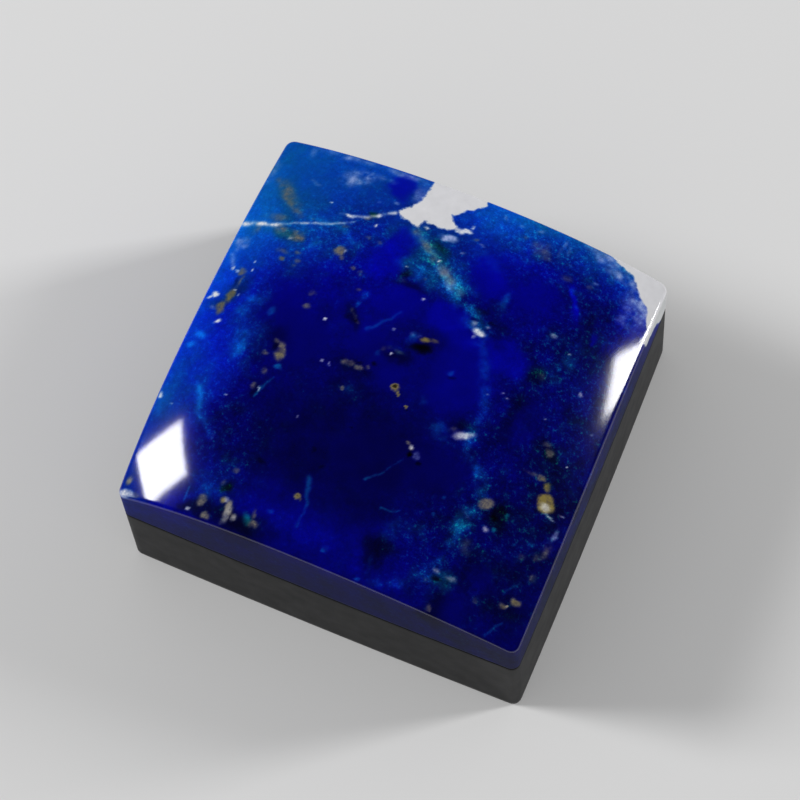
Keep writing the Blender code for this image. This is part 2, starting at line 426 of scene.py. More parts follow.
AZURE_SPOTS = (
    (-6.7, 0.6, 0.45, 0.22, 0.3, 0.2, 20), (-7, 0, 0.3, 0.35, 0.25, 0.2),
    (-5.8, 0.35, 0.15, 0.2, 0.25, 0.1), (-6.5, -1.4, 0.3, 0.6, 0.3, 0.2, 10),
    (-8.3, -1.55, 0.25, 0.18, 0.4, 0.12), (-8.5, -2.1, 0.2, 0.15, 0.3, 0.1),
    (-4.5, -1.95, 0.15, 0.13, 0.45, 0.07), (-0.5, 4.25, 0.75, 0.38, 0.3, 0.3, -25),
    (-1.3, 4.4, 0.45, 0.3, 0.3, 0.2), (2.3, 0.6, 0.18, 0.12, 0.35, 0.08, 20),
    (-1.2, -1.7, 0.45, 0.35, 0.14, 0.2), (1.75, -1.05, 0.16, 0.2, 0.22, 0.1),
    (2.85, -1.85, 0.35, 0.38, 0.26, 0.2), (0.4, -8.22, 0.18, 0.15, 0.5, 0.08),
    (2.05, -8.75, 0.12, 0.12, 0.45, 0.06), (2.3, -8, 0.08, 0.3, 0.25, 0.08),
    (3, -6.3, 0.8, 0.5, 0.14, 0.3, 30), (3.7, -6, 0.3, 0.3, 0.16, 0.2), (3.9, -5.3, 0.08, 0.08, 0.35, 0.05),
    (4, -4.4, 0.07, 0.07, 0.4, 0.05), (6.35, -4.7, 0.09, 0.08, 0.5, 0.05),
    (7.85, -4.6, 0.1, 0.1, 0.4, 0.05), (7.25, -4.9, 0.09, 0.08, 0.35, 0.05),
    (6.6, -3.9, 0.08, 0.08, 0.4, 0.05), (6.5, 3.3, 0.3, 0.35, 0.2, 0.2),
    (6.15, 2.8, 0.12, 0.12, 0.35, 0.06), (3.1, 4.6, 0.15, 0.4, 0.28, 0.12),
    (5.45, 6.35, 0.1, 0.18, 0.35, 0.06, 30), (5.9, 5.75, 0.09, 0.16, 0.3, 0.05, 30),
    (1.7, 6, 0.7, 0.5, 0.1, 0.3), (-5.45, 3.85, 0.22, 0.22, 0.22, 0.1),
    (-2.45, 1.85, 0.1, 0.12, 0.38, 0.06), (-2.35, 2.35, 0.2, 0.3, 0.18, 0.1),
    (5.4, -7.4, 0.45, 0.4, 0.2, 0.2), (-2.3, -7.65, 0.12, 0.1, 0.4, 0.06),
    (-3.1, -8.2, 0.15, 0.25, 0.4, 0.08), (-6.6, -5, 0.5, 0.35, 0.14, 0.3, -40),
    (5, -5.2, 0.3, 0.8, 0.14, 0.2, 10), (-0.75, 0.2, 0.12, 0.14, 0.22, 0.08),
    (7.45, -2.05, 0.4, 0.2, 0.14, 0.15), (8.2, -3.3, 0.15, 0.25, 0.2, 0.1),
    (-0.1, 0.6, 0.4, 0.14, 0.16, 0.1, -15), (0.25, 1.35, 0.22, 0.25, 0.4, 0.12),
    (-8.6, -4.9, 0.4, 0.5, 0.15, 0.3), (-5, -7.7, 0.6, 0.3, 0.18, 0.2, 20),
)
# Where the stone is grainy, in the clouds' terms. The cells are smooth
GRAIN_CLOUDS = (
    (7, 1, 3.4, 9.5, 4, 0.4), (-3, 4.4, 4, 1.8, 3, 0.3), (1, 4.6, 2.6, 1.2, 3, 0.25, -30),
    (-4.9, -6.2, 1.6, 2.4, 3, 0.28), (-6.6, -1, 1, 6, 3, 0.14), (4, -6.4, 1.8, 2, 3, 0.28),
    (1.4, 7.6, 3, 1.3, 3, 0.15), (-1.2, -1.6, 2.4, 1.2, 3, 0.1), (3.6, 7.4, 1.8, 1.2, 3, 0.25),
    (-5.6, -3, 0.9, 2.6, 3, 0.14), (0, -5, 3.4, 2.8, 5, -0.08), (-7.8, 7.2, 1.6, 2, 3, -0.1),
)

in_cells = np.clip(clouds([(*cell[:5], 1.0, *cell[6:]) for cell in CELLS], 0.0), 0, 1)
PLAIN_BLUE, BAND_BLUE, THREAD_BLUE, LEAST_MOTTLE = 0.365, 0.36, 0.45, 0.02
PLAIN_AZURE, BAND_AZURE, THREAD_AZURE, CELL_AZURE_LOST = 0.012, 0.36, 0.55, 0.6
PLAIN_GRAIN, BAND_GRAIN, CELL_GRAIN_LOST, LEAST_GRAIN, GRAIN_MOTTLE = 0.30, 0.5, 0.35, 0.04, 0.10
drifting = 0.25
band_x = drifting * drift_x + (1 - drifting) * wander_x
band_y = drifting * drift_y + (1 - drifting) * wander_y
band = line(BAND, band_x, band_y) * patches(0.4, 41, 3, level=0.72, swing=0.9, most=1.6)
flecks = spots(AZURE_SPOTS) * patches(0.3, 45, 3, level=0.8, swing=0.7, most=1.4)
threads = np.maximum(lines(AZURE_LINES), flecks)
grain = clouds(GRAIN_CLOUDS, PLAIN_GRAIN) - CELL_GRAIN_LOST * in_cells + BAND_GRAIN * band
grain = np.clip(grain, LEAST_GRAIN, 1.0)
blue = clouds(BLUE_CLOUDS + CELLS + BLOTCHES, PLAIN_BLUE) + BAND_BLUE * band + THREAD_BLUE * threads
blue = blue + (LEAST_MOTTLE + GRAIN_MOTTLE * grain) * rough(0.6, 49)
azure = clouds(AZURE_CLOUDS, PLAIN_AZURE) * (1 - CELL_AZURE_LOST * in_cells)
azure = azure + BAND_AZURE * band + THREAD_AZURE * threads
azure = azure + GRAIN_MOTTLE * grain * np.maximum(rough(0.45, 53), -0.2)
# The walls are ground and not polished, so they are a little grainier than the top. Down each wall the colour
# is painted darker and less azure, with a little teal kept, as painted shade
SHADE_AND_GRIND_FROM, AZURE_LOST, AZURE_LEFT, BLUE_LOST, GRAIN_GAINED = 0.9, 0.55, 0.06, 0.04, 0.05
shade_and_grinding = ease(0.0, SHADE_AND_GRIND_FROM, depth)
azure = azure * (1 - AZURE_LOST * shade_and_grinding) + AZURE_LEFT * shade_and_grinding
blue = blue - BLUE_LOST * shade_and_grinding
grain = grain + GRAIN_GAINED * shade_and_grinding

# Calcite: the white patch that runs over the back rim, and the pale corner at the back right
CALCITE_PATCH = (
    (-1.9, 9.6), (-1.95, 8.3), (-2, 7.6), (-2.25, 7.3), (-2.75, 6.85), (-2.5, 6.6), (-2.1, 6.4),
    (-1.9, 6.28), (-1.55, 6.35), (-1.5, 6.7), (-0.9, 6.65), (-0.3, 6.75), (0, 6.95), (-0.5, 7.45),
    (-0.3, 7.7), (0, 8.05), (0.4, 8.35), (0.65, 8.6), (0.5, 9.6),
)
PALE_CORNER = (
    (5.6, 9.8), (6.1, 8.75), (6.9, 8.45), (7.5, 8.25), (7.65, 7.9), (8.4, 7.2), (8.5, 6.8), (8.6, 6.3),
    (8.5, 5.6), (9.9, 5.2), (9.9, 9.8),
)
# Small white marks
WHITE_SPOTS = (
    (-7.4, 4.4, 0.12, 0.09, 1, 0.05, 10), (-4.55, 5.8, 0.14, 0.09, 0.9, 0.05),
    (-3.4, 6.17, 0.12, 0.08, 0.9, 0.05, 20), (0.55, 7.35, 0.06, 0.1, 0.7, 0.04),
    (0.35, 7.02, 0.22, 0.11, 0.9, 0.05, 10), (0.1, 6.9, 0.2, 0.12, 0.9, 0.06),
    (-1.2, 6.45, 0.1, 0.06, 0.9, 0.04), (-5.65, 6.15, 0.06, 0.05, 0.8, 0.03),
    (-8.3, 1.8, 0.07, 0.06, 0.9, 0.03), (-8.1, 1.7, 0.06, 0.05, 0.8, 0.03),
    (-8.52, 0.42, 0.15, 0.11, 1, 0.05), (-8.72, 0.3, 0.1, 0.06, 0.9, 0.04, 30),
    (-7.55, 2.4, 0.05, 0.05, 0.9, 0.03), (-7.48, 2, 0.05, 0.05, 0.8, 0.03),
    (-7.83, -0.78, 0.18, 0.08, 0.95, 0.05, 15), (-8.8, -4.5, 0.12, 0.1, 0.8, 0.05),
    (-8.15, -4.8, 0.05, 0.05, 0.5, 0.03), (-4.78, -3.1, 0.05, 0.06, 0.7, 0.03),
    (-6.05, -3.75, 0.05, 0.05, 0.6, 0.03), (-3.5, 0.73, 0.07, 0.07, 1, 0.03),
    (-0.05, 3.15, 0.06, 0.06, 1, 0.03), (-0.1, 5.2, 0.09, 0.05, 1, 0.03, 40),
    (-3.25, 5.75, 0.06, 0.06, 1, 0.03), (-0.25, 0.35, 0.06, 0.05, 1, 0.03),
    (-2.88, -1.03, 0.07, 0.05, 0.9, 0.03), (-2.5, -1.05, 0.06, 0.07, 0.5, 0.03),
    (-0.7, 1.35, 0.05, 0.06, 0.5, 0.03), (2.65, 2.75, 0.26, 0.13, 0.95, 0.08, -15),
    (2.55, 2.5, 0.06, 0.1, 0.6, 0.05), (2.33, 3.05, 0.12, 0.14, 0.5, 0.08),
    (2.9, 3.12, 0.1, 0.06, 0.5, 0.05), (3.85, -1.7, 0.42, 0.15, 0.75, 0.09, 22),
    (2.1, -3.02, 0.1, 0.08, 0.8, 0.05), (6, -4.85, 0.14, 0.12, 0.65, 0.06),
    (7.8, -2.95, 0.2, 0.15, 0.65, 0.08), (8.15, -3.2, 0.2, 0.05, 0.6, 0.04, -10),
    (8.5, -2.9, 0.1, 0.05, 0.5, 0.04), (8, -0.93, 0.06, 0.07, 0.7, 0.03),
    (7.45, 2.25, 0.06, 0.07, 0.6, 0.03), (6.35, 3.7, 0.07, 0.05, 0.5, 0.03),
    (8.45, 0.85, 0.05, 0.08, 0.5, 0.03), (6.5, 0.45, 0.05, 0.05, 0.5, 0.03),
    (4.65, 0.65, 0.07, 0.05, 0.5, 0.04, 30), (4.85, 0.6, 0.05, 0.05, 0.5, 0.03),
    (4.05, 0.35, 0.05, 0.05, 0.4, 0.03), (5.55, 4, 0.14, 0.09, 0.4, 0.06),
    (7.95, -7.35, 0.05, 0.05, 1, 0.03), (4.9, -7.25, 0.12, 0.08, 0.5, 0.06),
    (5.5, -7.2, 0.18, 0.08, 0.45, 0.06, 10), (-5.6, -8.55, 0.08, 0.06, 0.9, 0.04),
    (-8.7, -8.75, 0.3, 0.16, 0.85, 0.08), (-8.35, -8.75, 0.22, 0.1, 0.7, 0.08, -20),
    (-4, 4, 0.07, 0.06, 0.6, 0.04), (-6.5, 3.85, 0.12, 0.06, 0.4, 0.05, 20),
    (-7.8, 0.83, 0.08, 0.05, 0.7, 0.03), (-7.5, 0.6, 0.06, 0.06, 0.5, 0.03),
    (-2.8, -3.73, 0.05, 0.04, 0.4, 0.03), (-1.3, 4.3, 0.06, 0.05, 0.6, 0.03),
    (1.2, 6.6, 0.1, 0.05, 0.4, 0.04), (0.65, 5.9, 0.08, 0.05, 0.45, 0.04, 30),
    (-4.2, -7.75, 0.12, 0.12, 0.5, 0.06), (-4, -8.25, 0.14, 0.4, 0.35, 0.08),
    (-3.6, -8.4, 0.12, 0.12, 0.35, 0.06),
)
# Pale haze, where thin calcite clouds the blue
HAZE_SPOTS = (
    (-5.1, 7.72, 0.6, 0.42, 0.6, 0.3, 10), (-4.95, 7.6, 0.3, 0.22, 0.85, 0.2),
    (-4.7, 8, 0.25, 0.2, 0.85, 0.15), (-4, 8.1, 0.4, 0.1, 0.5, 0.12), (-5.8, 8.75, 1.2, 0.16, 0.4, 0.14),
    (-5.2, 8.75, 0.2, 0.1, 0.6, 0.08), (-7.55, 8.55, 0.14, 0.35, 0.3, 0.12),
    (-8.8, 6.95, 0.16, 0.5, 0.35, 0.14), (-2.2, 8.1, 0.28, 0.55, 0.55, 0.18),
    (-3.1, 8.68, 0.9, 0.18, 0.45, 0.14), (-0.15, 6.35, 0.38, 0.16, 0.75, 0.08),
    (-1.4, 6.55, 0.1, 0.1, 0.4, 0.05), (-8.45, 3.2, 0.25, 0.32, 0.6, 0.12),
    (-6.7, 6.92, 0.24, 0.08, 0.3, 0.06, -20), (-3, 7.15, 0.12, 0.07, 0.5, 0.05),
    (-3.65, 6.9, 0.09, 0.06, 0.4, 0.04), (-3.35, 6.45, 0.08, 0.05, 0.4, 0.04),
    (-8.3, -0.2, 0.14, 0.1, 0.4, 0.08), (8.2, 7.1, 0.6, 1, 0.6, 0.35, 20),
    (7.9, 6.25, 0.45, 0.25, 0.45, 0.2, -20), (6.9, 8.4, 1.5, 0.4, 0.6, 0.25, -18),
    (6.2, 7.15, 0.12, 0.09, 0.4, 0.06), (6.4, 6.65, 0.09, 0.07, 0.35, 0.05),
    (1.6, 8.45, 0.16, 0.06, 0.5, 0.05, -45), (2.35, 8.35, 0.1, 0.07, 0.4, 0.05),
    (3.2, 8.45, 0.16, 0.06, 0.5, 0.05, 30), (4.65, 8.1, 0.08, 0.25, 0.4, 0.06, 20),
    (4.35, 8.1, 0.06, 0.35, 0.45, 0.06), (4.95, 7.5, 0.12, 0.06, 0.4, 0.05),
    (8.6, -3.75, 0.12, 0.26, 0.5, 0.08), (-5.85, -5.6, 0.05, 0.22, 0.25, 0.05),
    (2.4, -3.25, 0.1, 0.16, 0.55, 0.06), (0.85, 4.2, 0.4, 0.2, 0.4, 0.15, -35),
    (0.3, 4.65, 0.3, 0.16, 0.35, 0.12, -35), (5.1, -4.7, 0.2, 0.08, 0.45, 0.06, -20),
    (0.3, 1.55, 0.22, 0.1, 0.45, 0.07),
)
HAZE_LINES = (
    ((-8.75, 3.3, 0.14, 0.5), (-8.65, 2.5, 0.12, 0.5), (-8.5, 2.1, 0.1, 0.4), (-8.3, 1.85, 0.08, 0.4)),
    ((-8.85, 6.4, 0.12, 0.3), (-8.85, 7.6, 0.16, 0.35)),
)
# The bright hair vein of calcite, and its broken end
HAIR_VEINS = (
    ((-9.2, 4.02, 0.13, 1), (-8.9, 4.08, 0.12, 1), (-8.3, 4.18, 0.1, 0.95), (-7.4, 4.38, 0.09, 0.8),
     (-6.8, 4.62, 0.06, 0.55), (-6, 4.9, 0.06, 0.6), (-5.2, 5.08, 0.06, 0.55), (-4.6, 5.35, 0.06, 0.4),
     (-4.3, 5.6, 0.05, 0.3)),
    ((-5, 5.72, 0.06, 0.25), (-4.5, 5.82, 0.07, 0.5), (-4, 5.95, 0.07, 0.45), (-3.4, 6.18, 0.08, 0.6),
     (-2.8, 6.68, 0.1, 0.7)),
)
# Smoky grey-brown smears and grains
SMOKE_LINES = (
    ((-8.35, 6.65, 0.16, 0.35), (-7.9, 6.3, 0.26, 0.6), (-7.4, 5.8, 0.26, 0.65), (-7, 5.5, 0.2, 0.6),
     (-6.6, 5.1, 0.12, 0.4)),
    ((-7.7, 1.6, 0.07, 0.6), (-7.75, 1, 0.07, 0.5)),
    ((-2.6, 1.6, 0.06, 0.55), (-2.1, 1, 0.06, 0.5)),
    ((-1.6, 6.1, 0.16, 0.5), (-0.9, 5.6, 0.2, 0.55), (-0.3, 5.2, 0.2, 0.5), (0.6, 4.5, 0.2, 0.45),
     (1.4, 4, 0.14, 0.2)),
    ((8.6, -4.3, 0.14, 0.6), (8.5, -4.7, 0.14, 0.6), (8.25, -5, 0.1, 0.5)),
)
SMOKE_SPOTS = (
    (-7.6, 4.72, 0.5, 0.18, 0.5, 0.12, 12), (-8.15, 3.95, 0.15, 0.25, 0.45, 0.1),
    (-7, 4.18, 0.45, 0.24, 0.6, 0.1, -12), (-6.3, 4.05, 0.36, 0.28, 0.75, 0.08, -20),
    (-6.6, 3.15, 0.25, 0.12, 0.5, 0.08), (-5.75, 2.85, 0.14, 0.1, 0.5, 0.06),
    (-5.9, 3.3, 0.12, 0.09, 0.45, 0.06), (-5.8, 2.6, 0.1, 0.08, 0.45, 0.06),
    (-7.88, 1.8, 0.16, 0.2, 0.6, 0.08), (-4.45, 1.7, 0.16, 0.12, 0.45, 0.07),
    (-4.45, 1, 0.16, 0.14, 0.5, 0.07), (-4.65, -1.25, 0.24, 0.42, 0.75, 0.09, 8),
    (-4.95, -0.82, 0.14, 0.1, 0.6, 0.06), (-5.2, -1.5, 0.12, 0.1, 0.6, 0.06),
    (-4.9, -2.3, 0.12, 0.16, 0.6, 0.06, 10), (-5.12, -3.05, 0.13, 0.17, 0.75, 0.05),
    (-4.25, 3.95, 0.24, 0.22, 0.75, 0.07, -40), (-4.05, 3.7, 0.12, 0.12, 0.6, 0.05),
    (-3.8, 5.95, 0.16, 0.11, 0.55, 0.06), (-3.3, 4.95, 0.12, 0.1, 0.55, 0.06),
    (-2.85, 4.9, 0.12, 0.09, 0.5, 0.06), (-4.5, 5.2, 0.14, 0.09, 0.55, 0.06, 20),
    (-2.95, 3.35, 0.12, 0.14, 0.65, 0.05), (-3.35, 3.4, 0.12, 0.09, 0.6, 0.05),
    (-2.75, 2.55, 0.12, 0.09, 0.55, 0.05), (-1.2, 3.6, 0.14, 0.1, 0.4, 0.07),
    (-1.75, -0.72, 0.24, 0.14, 0.6, 0.06, -15), (-1.3, -0.82, 0.2, 0.1, 0.55, 0.05),
    (-0.95, -0.65, 0.1, 0.1, 0.5, 0.05), (-1.6, -1.8, 0.09, 0.1, 0.6, 0.05),
    (0, 0.55, 0.2, 0.09, 0.35, 0.07, -10), (-0.55, 0.5, 0.2, 0.1, 0.35, 0.07, 30),
    (3.3, -1.65, 0.16, 0.1, 0.55, 0.06, 20), (1.9, -2.92, 0.1, 0.08, 0.7, 0.04),
    (5.7, -3.9, 0.3, 0.16, 0.75, 0.07, 15), (5.45, -4.05, 0.1, 0.1, 0.6, 0.05),
    (7.05, -0.45, 0.16, 0.14, 0.55, 0.07), (7.25, -0.72, 0.12, 0.14, 0.6, 0.06),
    (7.2, -1.8, 0.2, 0.15, 0.7, 0.07, 10), (6.8, -1.85, 0.24, 0.08, 0.4, 0.06),
    (7.75, -5.25, 0.16, 0.12, 0.45, 0.07), (8.45, -5.8, 0.12, 0.2, 0.5, 0.07),
    (8.2, -7.05, 0.2, 0.14, 0.7, 0.06, -20), (7.78, -7.42, 0.17, 0.11, 0.65, 0.06),
    (6.75, -7.6, 0.12, 0.1, 0.5, 0.06), (5.05, -8.7, 0.14, 0.16, 0.6, 0.07),
    (5.6, -5.9, 0.25, 0.35, 0.25, 0.15), (3.6, 7.6, 0.4, 0.38, 0.4, 0.25),
    (2.8, 7.9, 0.12, 0.1, 0.35, 0.07), (3.9, 7.25, 0.22, 0.14, 0.4, 0.1),
    (5, 6.8, 0.26, 0.16, 0.3, 0.1, 20), (6, 6.9, 0.14, 0.12, 0.3, 0.08),
    (0.85, 6.75, 0.12, 0.08, 0.5, 0.05), (5.75, 2.05, 0.18, 0.16, 0.3, 0.08),
    (-8.6, -8.2, 0.14, 0.18, 0.6, 0.08), (-8.1, -8.75, 0.16, 0.12, 0.6, 0.07),
    (-5.15, -8.1, 0.18, 0.24, 0.75, 0.07, -15), (-4.85, -8.7, 0.14, 0.16, 0.75, 0.06),
    (-4.35, -7.82, 0.16, 0.14, 0.8, 0.06), (-4, -8.2, 0.2, 0.48, 0.85, 0.08),
    (-3.6, -8.4, 0.17, 0.15, 0.75, 0.07), (-2.8, -8.3, 0.24, 0.18, 0.7, 0.07),
    (-2.87, -7.85, 0.07, 0.24, 0.6, 0.05), (-4.35, -6.55, 0.09, 0.12, 0.45, 0.05),
    (-4.6, -7.2, 0.1, 0.09, 0.5, 0.05), (-0.65, 6.95, 0.12, 0.12, 0.45, 0.06),
    (4.7, -7.7, 0.14, 0.1, 0.3, 0.07), (-0.3, 4.1, 0.1, 0.08, 0.25, 0.05),
    (-6, 5.15, 0.09, 0.07, 0.4, 0.05), (-1.5, -6.65, 0.15, 0.17, 0.65, 0.04),
    (0.45, -1, 0.22, 0.19, 0.7, 0.04), (8.3, -4.9, 0.12, 0.08, 0.5, 0.06, 30),
)
# Gold and brown, where pyrite has stained the stone
GOLD_SPOTS = (
    (7.75, -2.75, 0.36, 0.45, 0.95, 0.07, 10), (7.55, -2.05, 0.16, 0.18, 0.8, 0.06),
    (7.25, -1.8, 0.12, 0.1, 0.4, 0.06), (-7.85, 0.5, 0.15, 0.36, 0.7, 0.07),
    (-8, -0.12, 0.17, 0.32, 0.65, 0.07), (-7.9, 1.75, 0.1, 0.14, 0.35, 0.06),
    (0.8, 1.45, 0.2, 0.12, 0.85, 0.05, 5), (1.15, 1.58, 0.2, 0.09, 0.5, 0.05, 10),
    (-6.55, 2.8, 0.1, 0.08, 0.65, 0.05), (1.2, -1.55, 0.06, 0.07, 0.9, 0.03),
    (-4.35, -7.8, 0.13, 0.12, 0.55, 0.05), (8.2, -7.05, 0.14, 0.1, 0.5, 0.06),
    (-8.6, -8.3, 0.1, 0.12, 0.4, 0.06), (2.1, -3.05, 0.13, 0.1, 0.4, 0.05),
    (-4.65, -1.3, 0.14, 0.26, 0.3, 0.08, 8), (-7.4, 5.75, 0.3, 0.12, 0.25, 0.1, -45),
    (-1.35, -6.75, 0.06, 0.05, 0.6, 0.03), (0.42, -0.98, 0.16, 0.13, 0.7, 0.04),
    (-1.5, -6.65, 0.11, 0.13, 0.7, 0.04), (0.62, -1.15, 0.06, 0.09, 0.8, 0.03),
    (7.8, -7.42, 0.1, 0.07, 0.4, 0.05),
)
PYRITE_SPOTS = (
    (0.42, -0.96, 0.14, 0.1, 1, 0.03, 15), (0.63, -1.15, 0.05, 0.06, 0.9, 0.03),
    (-1.52, -6.63, 0.07, 0.09, 0.9, 0.03), (1.2, -1.55, 0.05, 0.05, 0.9, 0.03),
    (7.95, -7.35, 0.04, 0.04, 0.8, 0.03),
)
# Holes and the pit, painted black as their shade, and black grains of the stone's own colour
DARK_SPOTS = (
    (2.15, -3.27, 0.1, 0.09, 1, 0.04), (2.5, -3.55, 0.08, 0.07, 0.6, 0.04),
    (6.2, -4.2, 0.16, 0.12, 0.7, 0.08), (5, -7.5, 0.18, 0.1, 0.7, 0.07),
    (-1.6, -4.7, 0.07, 0.08, 0.4, 0.05), (-1, -5.2, 0.08, 0.07, 0.4, 0.05),
    (-0.55, -3.3, 0.06, 0.06, 0.4, 0.04), (-3.5, -5.9, 0.22, 0.08, 0.4, 0.07),
    (-0.8, -0.38, 0.1, 0.08, 0.6, 0.05), (0.75, 1.1, 0.34, 0.14, 0.7, 0.1, 5),
    (-2.2, 1.1, 0.05, 0.1, 0.6, 0.04, 20), (-1.35, -0.6, 0.12, 0.05, 0.4, 0.04),
    (-4.95, -1.05, 0.1, 0.2, 0.5, 0.08), (-7.9, 1.25, 0.08, 0.2, 0.4, 0.06),
    (1.25, -1.7, 0.05, 0.04, 0.6, 0.03), (2.45, 0.42, 0.14, 0.06, 0.4, 0.05, 20),
    (3, 3.35, 0.14, 0.08, 0.4, 0.06), (7.6, -3.25, 0.2, 0.05, 0.4, 0.05),
)

# Calcite narrows down a wall. Its field holds the millimetres inside its edge, as far as they matter
CORNER_HELD_BACK, NARROWS_WITH_DEPTH, EDGE_FIELD = 0.22, 0.35, 0.5
calcite = np.maximum(inside_outline(CALCITE_PATCH), inside_outline(PALE_CORNER) - CORNER_HELD_BACK)
calcite = np.clip(calcite - NARROWS_WITH_DEPTH * depth, -EDGE_FIELD, EDGE_FIELD)
vein = np.clip(lines(HAIR_VEINS, 0.5 * (plan_x + wander_x), 0.5 * (plan_y + wander_y)), 0, 1)
white = np.maximum(spots(WHITE_SPOTS), vein * patches(0.3, 57, 3, level=0.85, swing=0.8, most=1.3))
haze = np.maximum(spots(HAZE_SPOTS), lines(HAZE_LINES))
haze = haze * patches(0.35, 61, 4, level=0.75, swing=0.8, most=1.5)
smoke = np.maximum(spots(SMOKE_SPOTS), lines(SMOKE_LINES))
smoke = smoke * patches(0.25, 65, 3, level=0.9, swing=0.8, most=1.3)
gold = spots(GOLD_SPOTS)
pyrite = spots(PYRITE_SPOTS)
dark = spots(DARK_SPOTS)

fields = {
    "blue": blue, "azure": azure, "grain": grain, "calcite": calcite, "white": white, "haze": haze,
    "smoke": smoke, "gold": gold, "pyrite": pyrite, "dark": dark,
}
for name, values in fields.items():
    tile.data.attributes.new(name, "FLOAT", "POINT").data.foreach_set("value", values.astype(np.float32))

# Its finish. The dome is polished to a near mirror, which only the softer grains have lost. The walls are
# as the grinding wheel left them, and are satin. Under both is the same stone, so one node group colours it.


def add(tree, kind, settings=None, **links):
    """A node with its settings, whose named inputs are given values or linked to other nodes' sockets."""
    node = tree.nodes.new(kind)
    for key, value in (settings or {}).items():
        setattr(node, key, value)
    for key, value in links.items():
        socket = node.inputs[int(key[2:])] if key.startswith("in") else node.inputs[key.replace("_", " ")]
        if isinstance(value, bpy.types.NodeSocket):
            tree.links.new(value, socket)
        else:
            socket.default_value = value
    return node


def math(tree, operation, *values, clamp=False):
    """A Math node's result."""
    links = {f"in{k}": value for k, value in enumerate(values)}
    return add(tree, "ShaderNodeMath", {"operation": operation, "use_clamp": clamp}, **links).outputs[0]


def mix(tree, share, below, above):
    """One colour laid over another by a share from 0 to 1."""
    settings = {"data_type": "RGBA", "clamp_factor": True}
    return add(tree, "ShaderNodeMix", settings, in0=share, in6=below, in7=above).outputs[2]


def times(tree, below, above):
    """One colour multiplied by another."""
    settings = {"data_type": "RGBA", "blend_type": "MULTIPLY"}
    return add(tree, "ShaderNodeMix", settings, in0=1.0, in6=below, in7=above).outputs[2]


def rgb(tree, red, green, blue):
    """A colour from its three levels."""
    return add(tree, "ShaderNodeCombineColor", in0=red, in1=green, in2=blue).outputs[0]


def field(tree, name):
    """One of the mesh's fields."""
    return add(tree, "ShaderNodeAttribute", {"attribute_name": name}).outputs["Fac"]


def noise(tree, size, detail, roughness=0.55, stretch=None):
    """Noise from 0 to 1 whose hills are a given size in millimetres, on Object coordinates."""
    place = add(tree, "ShaderNodeTexCoord").outputs["Object"]
    if stretch is not None:
        place = add(tree, "ShaderNodeMapping", Vector=place, Scale=stretch).outputs[0]
    node = add(
        tree, "ShaderNodeTexNoise", Vector=place, Scale=1 / (size * MM), Detail=detail, Roughness=roughness)
    return node.outputs["Fac"]


def centred(tree, level, contrast):
    """A contrast times noise from 0 to 1 less a half."""
    return math(tree, "MULTIPLY_ADD", level, contrast, -contrast / 2)


def new_group(name, inputs, outputs):
    """A shader node group with named sockets, and its inner ends."""
    group = bpy.data.node_groups.new(name, "ShaderNodeTree")
    for title, kind, value in inputs:
        socket = group.interface.new_socket(title, in_out="INPUT", socket_type=kind)
        socket.default_value = value
    for title, kind in outputs:
        group.interface.new_socket(title, in_out="OUTPUT", socket_type=kind)
    return group, group.nodes.new("NodeGroupInput").outputs, group.nodes.new("NodeGroupOutput").inputs


CALCITE_WHITE = (0.835, 0.835, 0.850, 1)
HAZE_WHITE = (0.60, 0.66, 0.86, 1)
SPOT_WHITE = (0.86, 0.87, 0.90, 1)
SMOKE_BROWN = (0.42, 0.40, 0.38, 1)
GOLD_BROWN = (0.50, 0.445, 0.23, 1)
PYRITE_YELLOW = (0.80, 0.72, 0.50, 1)
BLACK = (0.01, 0.01, 0.03, 1)

stone, given, result = new_group(
    "lapis_stone",
    [("Depth of colour", "NodeSocketColor", (1, 1, 1, 1)), ("Graininess", "NodeSocketFloat", 1.0)],
    [("Color", "NodeSocketColor"), ("Softness", "NodeSocketFloat"), ("Metal", "NodeSocketFloat"),
     ("Height", "NodeSocketFloat")],
)
# Grains of two sizes. Bright ones are azure, and dark ones navy
COARSE_GRAIN, COARSE_DETAIL, COARSE_ROUGHNESS, COARSE_CONTRAST = 0.19, 4, 0.68, 4.6
FINE_GRAIN, FINE_DETAIL, FINE_CONTRAST, FINE_SHARE = 0.075, 2, 3.0, 0.55
BLUE_SWING, FINE_BLUE_SWING, AZURE_SWING = 0.36, 0.04, 0.35
BRIGHT_FROM, AZURE_WHERE_BRIGHT = 0.12, 0.30
RED_IN_AZURE, LEAST_RED = 0.12, 0.004
coarse = centred(stone, noise(stone, COARSE_GRAIN, COARSE_DETAIL, COARSE_ROUGHNESS), COARSE_CONTRAST)
fine = centred(stone, noise(stone, FINE_GRAIN, FINE_DETAIL), FINE_CONTRAST)
both = math(stone, "MULTIPLY_ADD", fine, FINE_SHARE, coarse)
strength = math(stone, "MULTIPLY", field(stone, "grain"), given["Graininess"])
swing = math(stone, "MULTIPLY", both, strength)
bluer = math(stone, "MULTIPLY_ADD", swing, BLUE_SWING, 1.0)
bluer = math(stone, "MULTIPLY_ADD", fine, FINE_BLUE_SWING, bluer)
blue_level = math(stone, "MULTIPLY", field(stone, "blue"), bluer)
bright = math(stone, "MAXIMUM", math(stone, "SUBTRACT", swing, BRIGHT_FROM), 0.0)
azure_level = math(stone, "MULTIPLY_ADD", bright, AZURE_WHERE_BRIGHT, field(stone, "azure"))
greener = math(stone, "MULTIPLY_ADD", swing, AZURE_SWING, 1.0)
azure_level = math(stone, "MULTIPLY", azure_level, greener, clamp=True)
red_level = math(stone, "MULTIPLY_ADD", azure_level, RED_IN_AZURE, LEAST_RED)
colour = rgb(stone, red_level, azure_level, blue_level)
